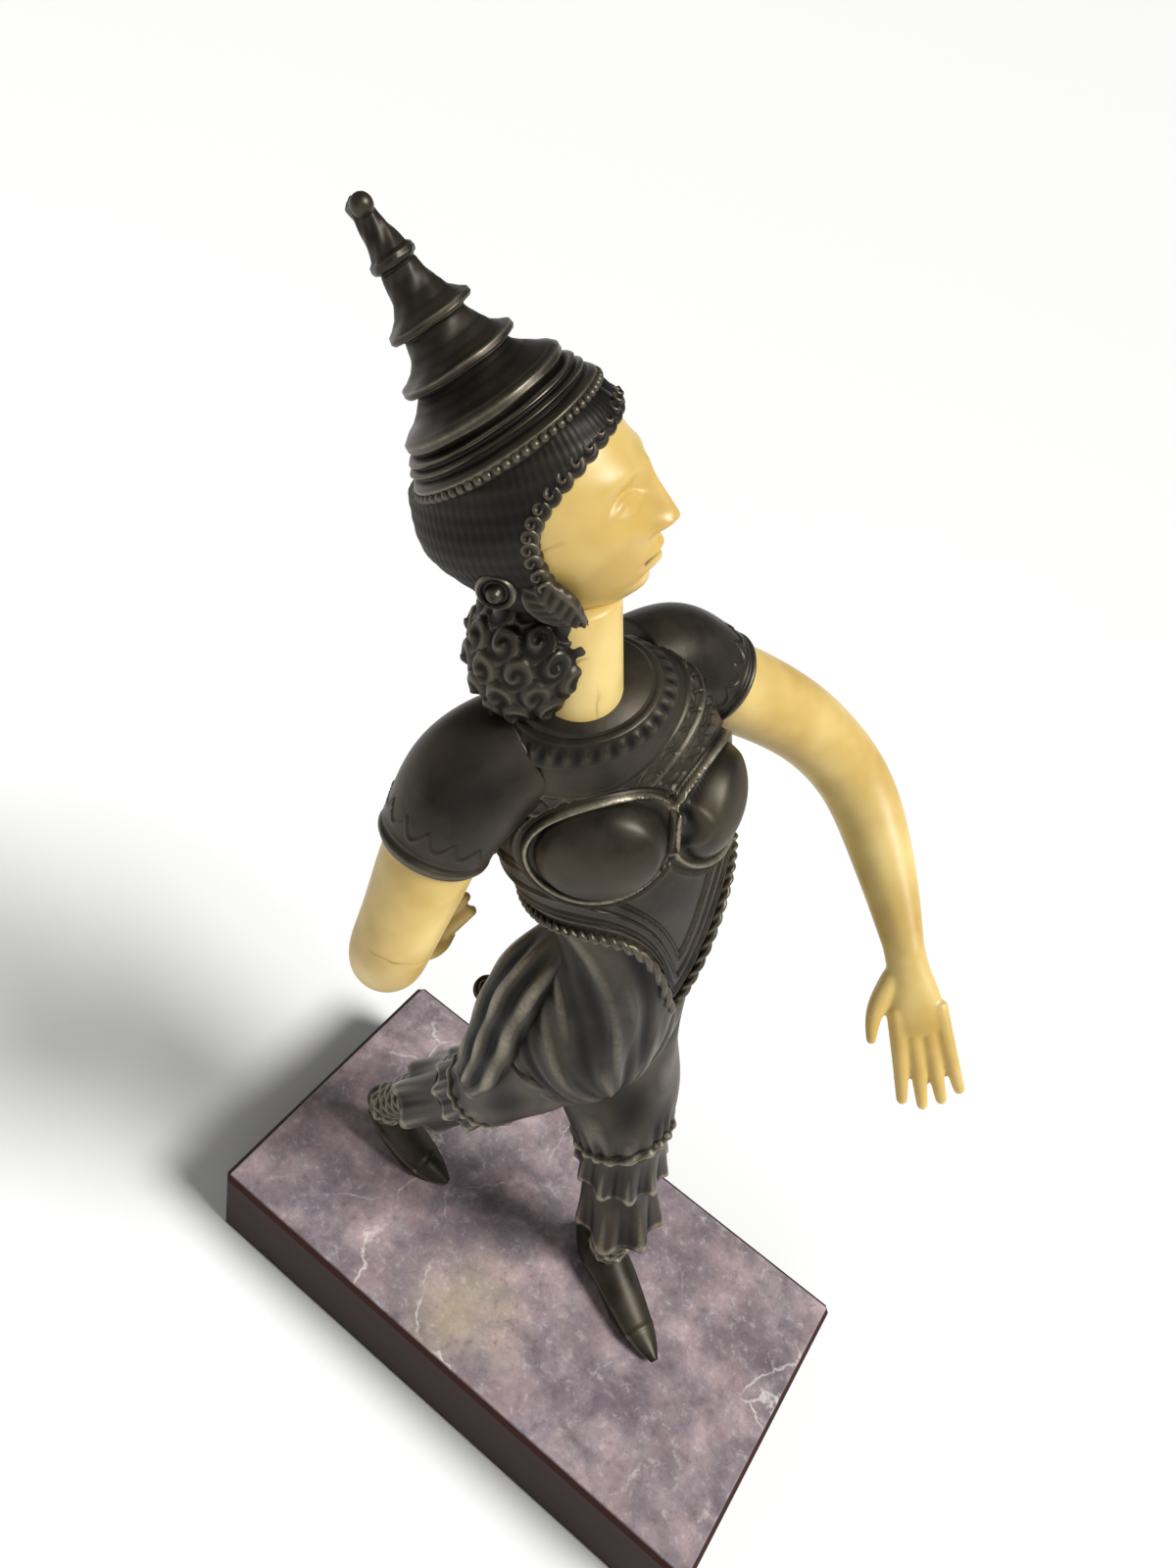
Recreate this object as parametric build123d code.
"""Dancer statuette: cast bronze costume, ivorine head and arms, on a marble slab.

Millimetres, +Z up.  The origin is the centre of the face that the statuette rests on, the
underside of the felt.  +X is the way the dancer strides and +Y is the dancer's left.
"""
from build123d import *
from math import cos, radians, sin
import os

os.makedirs("parts", exist_ok=True)

# Slab and what fastens the figure to it.
SLAB_LENGTH = 159.0
SLAB_WIDTH = 85.0
SLAB_HEIGHT = 32.0
SLAB_ARRIS = 1.6                    # bevel along the top edges and the upright corners
FELT_THICKNESS = 1.0
FELT_MARGIN = 2.0                   # the felt stops short of the slab's edge
STUD_DIAMETER = 5.0
STUD_HOLE = 6.5
FRONT_STUD_EMBED = 9.0              # how far each stud screws up into its shoe
REAR_STUD_EMBED = 5.0
COUNTERBORE_DIAMETER = 18.0
COUNTERBORE_DEPTH = 14.0
NUT_ACROSS_FLATS = 8.0
NUT_HEIGHT = 4.0
WASHER_DIAMETER = 12.0
WASHER_THICKNESS = 1.2
GROUND = FELT_THICKNESS + SLAB_HEIGHT   # top of the slab, where the dancer stands

# Pins inside the figure.
DOWEL_DIAMETER = 3.0
WAIST_PIN_DIAMETER = 6.0
CROWN_SCREW_DIAMETER = 2.5

# Costume and casting thicknesses.
COLLAR_THICKNESS = 1.2
CORD_WIDTH = 4.0
CASTING_WALL = 4.5
HAIR_THICKNESS = 1.8
SKULL = (15.0, 12.4, 17.0)          # half depth, half width, half height of the head

# Attitude of the head: turned to the dancer's left, tipped back, the crown further back.
HEAD_TURN = 24.0
HEAD_TILT = 28.0
CROWN_TURN = 19.0
CROWN_TILT = 47.0


def above_slab(x, y, height):
    """A point given by its height over the top of the slab."""
    return Vector(x, y, GROUND + height)


def leaning_back(turn, tilt):
    """Unit vectors forward, to the left and up for something turned and then tipped back."""
    forward = Vector(cos(radians(turn)), sin(radians(turn)), 0)
    left = Vector(-forward.Y, forward.X, 0)
    up = Vector(0, 0, 1) * cos(radians(tilt)) - forward * sin(radians(tilt))
    return left.cross(up), left, up


def station(centre, along, side, half_side, half_other):
    """An elliptical section square to along, half_side wide towards side."""
    normal = along.normalized()
    across = (side - normal * side.dot(normal)).normalized()
    return Plane(origin=centre, x_dir=across, z_dir=normal) * Ellipse(half_side, half_other)


def limb(centres, sizes, side):
    """A smooth solid through elliptical stations; sizes are (half width towards side, half depth).

    side is one direction for the whole limb, or a list with one for each station.
    """
    last = len(centres) - 1
    sides = side if isinstance(side, list) else [side] * len(centres)
    stations = []
    for number, (centre, size) in enumerate(zip(centres, sizes)):
        along = centres[min(number + 1, last)] - centres[max(number - 1, 0)]
        stations.append(station(centre, along, sides[number], *size))
    return loft(stations)


def grown(sizes, extra):
    """The same stations, thicker all round."""
    return [(half_side + extra, half_other + extra) for half_side, half_other in sizes]


def pin(start, end, diameter):
    """A round pin from start to end."""
    along = end - start
    return Plane(origin=start, z_dir=along) * extrude(Circle(diameter / 2), along.length)


def turned(origin, axis, outline):
    """A turned solid: outline is (height along the axis, radius), from the foot to the tip."""
    points = [(0, outline[0][0])] + [(radius, height) for height, radius in outline]
    points.append((0, outline[-1][0]))
    half = make_face(Plane.XZ * Polyline(*points, close=True))
    return Plane(origin=origin, z_dir=axis) * revolve(half, Axis.Z, 360)


def ellipsoid(centre, forward, left, up, half_depth, half_width, half_height):
    """A rounded solid of seven stations along up, with its ends nearly closed."""
    stations = []
    for share in (-0.98, -0.85, -0.55, 0.0, 0.55, 0.85, 0.98):
        girth = (1 - share * share) ** 0.5
        place = Plane(origin=centre + up * (share * half_height), x_dir=forward, z_dir=up)
        stations.append(place * Ellipse(half_depth * girth, half_width * girth))
    return loft(stations)


def save(shape, name, count=1):
    """Write one sub-part and say how many solids it has."""
    solids = shape.solids()
    if len(solids) != count:
        solids = sorted(solids, key=lambda solid: solid.volume)[-count:]
    kept = Compound(children=list(solids)) if len(solids) > 1 else solids[0]
    export_step(kept, f"parts/{name}.step")
    print(f"{name}: {len(solids)} solid, {sum(solid.volume for solid in solids):.0f} mm3")


# Directions used by many pieces.
TO_LEFT = Vector(0, 1, 0)
UPWARDS = Vector(0, 0, 1)
FACE_FORWARD, FACE_LEFT, FACE_UP = leaning_back(HEAD_TURN, HEAD_TILT)
HEAD_LEVEL, _, _ = leaning_back(HEAD_TURN, 0)
_, _, CROWN_UP = leaning_back(CROWN_TURN, CROWN_TILT)

# Joints of the body, by height over the slab.
FRONT_STUD = above_slab(18.5, 7, 0)
REAR_STUD = above_slab(-43, -4.1, 0)
FRONT_ANKLE = above_slab(17.3, 8, 11)
FRONT_KNEE = above_slab(4, 3, 80)
REAR_ANKLE = above_slab(-55, -4.6, 18)
REAR_KNEE = above_slab(-25, -12, 86)
NECK_FOOT = above_slab(-30.5, -20.5, 205)
HEAD_CENTRE = above_slab(-44, -25.5, 240)
LEFT_WRIST = above_slab(31.5, 22, 160.5)
RIGHT_WRIST = above_slab(-48, -30, 133)
CROWN_FOOT = HEAD_CENTRE + FACE_UP * 5.2 + FACE_FORWARD * 1.2 + Vector(-1.2, -0.8, -0.4)

# ---- slab, felt and fixings ------------------------------------------------------------


def slab_hole(stud):
    """One bolt hole, with its counterbore from below."""
    through = Pos(stud.X, stud.Y, GROUND) * Cylinder(STUD_HOLE / 2, 3 * SLAB_HEIGHT)
    pocket_centre = FELT_THICKNESS + COUNTERBORE_DEPTH / 2
    pocket = Pos(stud.X, stud.Y, pocket_centre) * Cylinder(COUNTERBORE_DIAMETER / 2, COUNTERBORE_DEPTH)
    return through + pocket


slab = Pos(0, 0, FELT_THICKNESS + SLAB_HEIGHT / 2) * Box(SLAB_LENGTH, SLAB_WIDTH, SLAB_HEIGHT)
bevelled = slab.edges().filter_by(Axis.Z) + slab.faces().sort_by(Axis.Z)[-1].edges()
slab = chamfer(bevelled, SLAB_ARRIS)
slab = slab - slab_hole(FRONT_STUD) - slab_hole(REAR_STUD)
save(slab, "marble_plinth")

felt = Rectangle(SLAB_LENGTH - 2 * FELT_MARGIN, SLAB_WIDTH - 2 * FELT_MARGIN)
felt = extrude(fillet(felt.vertices(), 3), FELT_THICKNESS)
save(felt, "felt_pad")

SEAT = FELT_THICKNESS + COUNTERBORE_DEPTH        # roof of a counterbore, where a washer bears
STUD_FOOT = SEAT - WASHER_THICKNESS - NUT_HEIGHT - 2.0


def stud(place, embed):
    """A threaded stud from below its nut up into the shoe."""
    foot = Vector(place.X, place.Y, STUD_FOOT)
    return pin(foot, Vector(place.X, place.Y, GROUND + embed), STUD_DIAMETER)


def washer(place):
    """A flat washer against the counterbore's roof."""
    ring = Circle(WASHER_DIAMETER / 2) - Circle(STUD_DIAMETER / 2)
    return Pos(place.X, place.Y, SEAT - WASHER_THICKNESS) * extrude(ring, WASHER_THICKNESS)


def nut(place):
    """A hexagon nut under the washer."""
    corner_radius = NUT_ACROSS_FLATS / 2 / cos(radians(30))
    ring = RegularPolygon(corner_radius, 6) - Circle(STUD_DIAMETER / 2)
    return Pos(place.X, place.Y, SEAT - WASHER_THICKNESS - NUT_HEIGHT) * extrude(ring, NUT_HEIGHT)


front_stud = stud(FRONT_STUD, FRONT_STUD_EMBED)
rear_stud = stud(REAR_STUD, REAR_STUD_EMBED)
save(front_stud, "front_fixing_stud")
save(rear_stud, "rear_fixing_stud")
save(washer(FRONT_STUD) + washer(REAR_STUD), "stud_washers", 2)
save(nut(FRONT_STUD) + nut(REAR_STUD), "stud_nuts", 2)

# ---- hips and legs ---------------------------------------------------------------------

# The trunk runs as one shape from the crotch to the neck, and parts along the bodice's lower edge.
TRUNK = [above_slab(-13, -5, 104), above_slab(-13.5, -5, 115), above_slab(-14, -5, 127),
         above_slab(-14, -5, 140), above_slab(-14, -5, 152), above_slab(-17, -6, 166),
         above_slab(-23, -9, 181), above_slab(-28.5, -14, 196), above_slab(-30.8, -18.2, 206),
         above_slab(-31.6, -20.2, 212)]
TRUNK_SIZES = [(15, 13), (20, 16.5), (21, 17.5), (18.2, 15.5), (16.8, 14.5), (18, 15), (21, 16), (20, 12.6),
               (15, 11), (9.6, 8.4)]
TRUNK_SIDES = [TO_LEFT] * 4 + [Vector(0.12, 1, 0.02), Vector(0.22, 1, 0.04), Vector(0.33, 0.95, 0.06),
                               Vector(0.40, 0.90, 0.06), Vector(0.42, 0.90, 0.05), Vector(0.42, 0.90, 0.05)]
WAIST = above_slab(-14, -5, 152)
WAIST_NORMAL = Vector(0.45, -0.15, 0.88)      # the bodice dips to a point in front

whole_trunk = limb(TRUNK, TRUNK_SIZES, TRUNK_SIDES)
above_waist = Plane(origin=WAIST, z_dir=WAIST_NORMAL) * Pos(0, 0, 100) * Box(200, 200, 200)
hips = whole_trunk - above_waist
front_thigh = limb(
    [above_slab(-12, 4.5, 120), above_slab(-8.5, 4.3, 106), above_slab(-2.5, 3.8, 91), above_slab(4.2, 3, 77)],
    [(13.5, 13.5), (14.6, 14.2), (14.4, 14), (12, 12)], TO_LEFT)
rear_thigh = limb(
    [above_slab(-17, -13.5, 118), above_slab(-19, -13.8, 106), above_slab(-22.5, -13, 94), above_slab(-26, -12, 82)],
    [(13, 13), (13.2, 13), (12.6, 12.2), (10.6, 10.4)], TO_LEFT)
front_shin = limb(
    [FRONT_KNEE, above_slab(7, 4.5, 62), above_slab(11, 6, 44), above_slab(14.5, 7, 27), FRONT_ANKLE],
    [(9.6, 9.4), (9.2, 9.0), (8.4, 8.2), (6.6, 6.4), (5.0, 4.8)], TO_LEFT)
rear_shin = limb(
    [REAR_KNEE, above_slab(-31, -10.5, 72), above_slab(-39, -8.5, 56), above_slab(-47.5, -6.5, 38), REAR_ANKLE],
    [(9.0, 9.0), (8.6, 8.4), (7.8, 7.6), (6.2, 6.0), (4.8, 4.6)], TO_LEFT)


below_slab_top = Pos(0, 0, GROUND - 20) * Box(300, 300, 40)


def slipper(heel, instep, toe):
    """A pointed slipper from heel to toe, flattened on the slab by a level cut."""
    along = toe - heel
    side = UPWARDS.cross(along).normalized()
    body = limb(
        [heel - along * 0.02 + UPWARDS * 1.0, heel + along * 0.14 + UPWARDS * 0.4, instep,
         heel + along * 0.66, toe - along * 0.12, toe + UPWARDS * 0.6],
        [(2.6, 2.6), (5.2, 5.6), (6.0, 5.6), (5.0, 4.0), (3.2, 2.6), (1.0, 0.9)], side)
    return body - below_slab_top


front_shoe = slipper(above_slab(9, 11, 5), above_slab(19, 7, 5.4), above_slab(44, -5, 2.2))
rear_shoe = limb(
    [above_slab(-60, -4, 17), above_slab(-57, -4.2, 17), above_slab(-51, -4.3, 11.5), above_slab(-43, -4.2, 5.0),
     above_slab(-36, -4, 2.9), above_slab(-31, -4, 2.2)],
    [(3.0, 3.0), (4.8, 4.8), (5.6, 6.2), (5.4, 5.2), (3.8, 3.2), (1.2, 1.1)], TO_LEFT) - below_slab_top

front_shoe = front_shoe - front_stud
rear_shoe = rear_shoe - rear_stud
front_shin = front_shin - front_shoe - front_stud
rear_shin = rear_shin - rear_shoe - rear_stud
front_thigh = front_thigh - hips
rear_thigh = rear_thigh - hips - front_thigh
front_shin = front_shin - front_thigh - hips
rear_shin = rear_shin - rear_thigh - front_thigh - hips


def frill(points, half_length, half_thickness, side, taken):
    """A leaf-shaped fringe standing off the back of a shin."""
    middle = (len(points) - 1) / 2
    sizes = []
    for number in range(len(points)):
        swell = 1 - 0.75 * abs(number - middle) / middle
        sizes.append((half_length * swell, half_thickness))
    body = limb(points, sizes, side)
    for neighbour in taken:
        body = body - neighbour
    return body


front_frill = frill(
    [above_slab(0, 2, 70), above_slab(0.5, 3, 60), above_slab(3, 4.5, 48), above_slab(6, 6, 36), above_slab(9, 7, 26)],
    8.5, 2.2, Vector(-1, -0.25, 0), [front_shin, front_thigh, front_shoe])
rear_frill = frill(
    [above_slab(-34, -11, 76), above_slab(-38, -10, 68), above_slab(-43.5, -9, 57), above_slab(-49, -7.5, 45),
     above_slab(-54, -6, 34)],
    7.5, 2.2, Vector(-0.9, 0, 0.45), [rear_shin, rear_thigh, rear_shoe])

save(front_shoe, "front_shoe")
save(rear_shoe, "rear_shoe")
save(front_shin, "front_legging")
save(rear_shin, "rear_legging")
save(front_frill, "front_shin_frill")
save(rear_frill, "rear_shin_frill")
save(front_thigh, "front_breeches")
save(rear_thigh, "rear_breeches")

# ---- trunk -----------------------------------------------------------------------------

trunk = whole_trunk & above_waist
core = limb(TRUNK[5:8], grown(TRUNK_SIZES[5:8], -CASTING_WALL), TRUNK_SIDES[5:8])
skin = limb(TRUNK, grown(TRUNK_SIZES, COLLAR_THICKNESS), TRUNK_SIDES)
CHEST_LEFT = TRUNK_SIDES[6].normalized()
CHEST_UP = (TRUNK[7] - TRUNK[5]).normalized()
CHEST_FORWARD = CHEST_LEFT.cross(CHEST_UP).normalized()


def cup(side):
    """One smooth dome of the bodice, low and round, on the front of the chest."""
    around = radians(side * 32)
    half_side, half_front = TRUNK_SIZES[6]
    middle = TRUNK[6] + CHEST_UP * 6 + CHEST_LEFT * (half_side * sin(around))
    middle = middle + CHEST_FORWARD * ((half_front - 3.5) * cos(around))
    return ellipsoid(middle, CHEST_FORWARD, CHEST_LEFT, CHEST_UP, 7.5, 10.5, 10.5)


cups = (cup(-1) + cup(1)) & above_waist
left_sleeve = limb(
    [above_slab(-32, -2, 203), above_slab(-28.5, 7, 202.5), above_slab(-22.5, 14, 198)],
    [(9.6, 9.4), (9.6, 9.8), (8.8, 8.9)], UPWARDS)
right_sleeve = limb(
    [above_slab(-34, -24, 203), above_slab(-38.6, -32.6, 195), above_slab(-40.3, -38.3, 182)],
    [(9.6, 10), (10, 10.2), (9.0, 8.9)], TO_LEFT)

NECK = [NECK_FOOT, above_slab(-32.3, -21.6, 215), above_slab(-36, -23, 227)]
neck = limb(NECK, [(7.0, 7.0), (6.3, 6.3), (6.8, 6.8)], FACE_LEFT)
skull = ellipsoid(HEAD_CENTRE, FACE_FORWARD, FACE_LEFT, FACE_UP, *SKULL)
head = skull + neck

collar_span = Plane(origin=above_slab(-31.2, -19.2, 208.6), z_dir=TRUNK[-1] - TRUNK[-3]) * Box(60, 60, 5.0)
collar = (skin & collar_span) - trunk - neck
cord_span = Plane(origin=WAIST, z_dir=WAIST_NORMAL) * Box(90, 90, CORD_WIDTH)
waist_cord = (skin & cord_span) - whole_trunk

neck_dowel = pin(above_slab(-28.9, -17.5, 197), above_slab(-35.5, -22.8, 225), DOWEL_DIAMETER)
left_arm_dowel = pin(above_slab(-29, 4, 201), above_slab(-14, 21.5, 193), DOWEL_DIAMETER)
right_arm_dowel = pin(above_slab(-38, -31, 197), above_slab(-40.2, -41, 170), DOWEL_DIAMETER)
waist_pin = pin(above_slab(-14, -5, 140), above_slab(-14, -5, 162), WAIST_PIN_DIAMETER)
crown_screw = pin(CROWN_FOOT - CROWN_UP * 5.0, CROWN_FOOT + CROWN_UP * 12.0, CROWN_SCREW_DIAMETER)

# ---- arms ------------------------------------------------------------------------------


def hand(wrist, knuckles, tip, across, spread, thumb_side):
    """Palm, four fingers side by side and a thumb, from the wrist to the tip of the fingers."""
    along = tip - knuckles
    palm = limb(
        [wrist, wrist + (knuckles - wrist) * 0.55, knuckles],
        [(3.9, 3.5), (4.9, 2.8), (5.4, 2.2)], across)
    whole = palm
    for number in range(4):
        offset = (number - 1.5) * 2.7
        reach = 1.0 - 0.08 * abs(number - 1.3)
        root = knuckles + across * offset - along * 0.15
        bend = root + along * (0.6 * reach) + across * (offset * spread * 0.4)
        end = root + along * (1.1 * reach) + across * (offset * spread)
        whole = whole + limb([root, bend, end], [(1.65, 1.65), (1.4, 1.4), (0.8, 0.8)], across)
    thumb_root = wrist + (knuckles - wrist) * 0.35 + across * (thumb_side * 4.0)
    thumb_end = thumb_root + (knuckles - wrist) * 0.75 + across * (thumb_side * 5.5)
    thumb_bend = (thumb_root + thumb_end) * 0.5 + across * (thumb_side * 1.0)
    return whole + limb([thumb_root, thumb_bend, thumb_end], [(2.0, 2.0), (1.7, 1.7), (0.9, 0.9)], across)


left_arm = limb(
    [above_slab(-23, 13, 198.5), above_slab(-17.5, 19, 195.5), above_slab(-9.5, 26.5, 190.5),
     above_slab(-1.5, 32, 184.5), above_slab(6.5, 34, 178.5), above_slab(15, 31.5, 172.5), above_slab(24, 26.8, 166),
     LEFT_WRIST],
    [(8.0, 8.0), (7.9, 7.9), (7.5, 7.5), (7.1, 7.1), (6.8, 6.8), (6.2, 6.2), (5.1, 4.9), (3.9, 3.6)], UPWARDS)
LEFT_HAND_ACROSS = Vector(0.72, 0.55, 0.42).normalized()
left_arm = left_arm + hand(
    LEFT_WRIST, above_slab(41.5, 16.5, 152), above_slab(53, 10, 141), LEFT_HAND_ACROSS, 0.35, -1)

right_arm = limb(
    [above_slab(-39.9, -38, 184), above_slab(-40, -40, 176), above_slab(-40, -42.5, 167),
     above_slab(-40.7, -43.5, 158), above_slab(-42.8, -40.5, 149), above_slab(-45.5, -35.5, 141), RIGHT_WRIST],
    [(7.9, 7.9), (7.7, 7.7), (7.2, 7.2), (7.0, 7.0), (6.6, 6.6), (5.4, 5.4), (3.9, 3.8)], Vector(1, 0.1, 0))
RIGHT_HAND_ACROSS = Vector(0.86, 0.05, -0.45).normalized()
right_arm = right_arm + hand(
    RIGHT_WRIST, above_slab(-46.5, -22.5, 139), above_slab(-42, -19.5, 150), RIGHT_HAND_ACROSS, 0.3, 1)

# ---- hair, ears and crown --------------------------------------------------------------

hair_bulk = ellipsoid(
    HEAD_CENTRE - FACE_FORWARD * 1.5 + FACE_UP * 0.6, FACE_FORWARD, FACE_LEFT, FACE_UP,
    SKULL[0] + HAIR_THICKNESS, SKULL[1] + HAIR_THICKNESS, SKULL[2] + 0.8)
face_window = Plane(
    origin=HEAD_CENTRE + FACE_FORWARD * 25.5 - FACE_UP * 4, x_dir=FACE_LEFT, z_dir=FACE_UP) * Box(60, 40, 34)
hair_cap = hair_bulk - face_window - head
nape = ellipsoid(above_slab(-39.2, -25.4, 218), HEAD_LEVEL, FACE_LEFT, UPWARDS, 9.4, 9.8, 12.5)
nape = nape - head - hair_cap - trunk - collar


def ear_disc(side):
    """A round ear stud: a stepped disc with a bead at its middle."""
    centre = HEAD_CENTRE + FACE_LEFT * (side * 12.6) - FACE_UP * 5.0 - FACE_FORWARD * 4.0
    return turned(centre, FACE_LEFT * side, [(0, 2.6), (1.2, 2.6), (1.8, 2.0), (1.8, 1.2), (2.8, 0.8), (3.1, 0.3)])


CROWN_BAND = [(3.2, 12.9), (4.6, 13.7), (5.4, 13.2), (5.9, 12.5), (7.0, 12.6), (7.4, 11.9), (8.3, 11.0)]
CROWN_SPIRE = [(8.3, 11.0), (9.1, 11.4), (9.9, 11.3), (11.2, 9.4), (13.2, 7.0), (14.0, 6.6), (14.4, 7.9),
               (15.2, 7.8), (16.4, 5.9), (18.8, 4.5), (19.8, 4.3), (20.2, 5.6), (21.0, 5.5), (22.3, 3.9),
               (24.4, 2.9), (26.6, 2.4)]
CROWN_FINIAL = [(26.6, 2.4), (27.4, 2.9), (28.4, 2.8), (29.8, 2.1), (32.0, 1.6), (34.0, 1.5), (34.9, 1.5), (35.6, 0.8)]
crown_band = turned(CROWN_FOOT, CROWN_UP, CROWN_BAND)
crown_spire = turned(CROWN_FOOT, CROWN_UP, CROWN_SPIRE)
crown_finial = turned(CROWN_FOOT, CROWN_UP, CROWN_FINIAL)

# ---- fitting the figure's pieces to each other -----------------------------------------

hips = hips - waist_pin
collar = collar - right_arm_dowel - left_arm_dowel
trunk = trunk + (cups - whole_trunk - collar)
trunk = trunk - core - waist_pin - neck_dowel - left_arm_dowel - right_arm_dowel - neck
left_sleeve = left_sleeve - trunk - core - collar - left_arm_dowel
right_sleeve = right_sleeve - trunk - core - collar - nape - right_arm_dowel
left_arm = left_arm - left_sleeve - trunk - left_arm_dowel
right_arm = right_arm - right_sleeve - trunk - right_arm_dowel
crown_spire = crown_spire - head - crown_screw
crown_band = crown_band - head - crown_screw
hair_cap = hair_cap - crown_band - crown_spire - crown_screw
head = head - neck_dowel - crown_screw
right_ear = ear_disc(-1) - head - hair_cap
left_ear = ear_disc(1) - head - hair_cap

sash = limb(
    [above_slab(-23, -19.5, 146), above_slab(-24, -22, 136), above_slab(-24.5, -23.5, 124),
     above_slab(-25, -24.5, 110), above_slab(-27, -23.5, 97)],
    [(4.5, 3.0), (7.0, 3.8), (7.8, 4.2), (6.8, 3.8), (3.5, 2.4)], Vector(1, -0.45, 0))
sash = sash - hips - rear_thigh - waist_cord - trunk
knot = Pos(above_slab(-31.5, -18.5, 124)) * Sphere(2.6) - hips - sash

save(hips, "hip_drape")
save(sash, "side_sash")
save(knot, "hip_knot")
save(trunk, "bodice")
save(left_sleeve, "left_sleeve")
save(right_sleeve, "right_sleeve")
save(collar, "collar")
save(waist_cord, "waist_cord")
save(head, "head")
save(hair_cap, "hair_cap")
save(nape, "nape_hair")
save(left_ear, "left_ear_stud")
save(right_ear, "right_ear_stud")
save(crown_band, "crown_band")
save(crown_spire, "crown_spire")
save(crown_finial, "crown_finial")
save(left_arm, "left_arm")
save(right_arm, "right_arm")
save(neck_dowel, "neck_dowel")
save(left_arm_dowel, "left_arm_dowel")
save(right_arm_dowel, "right_arm_dowel")
save(waist_pin, "waist_pin")
save(crown_screw, "crown_screw")
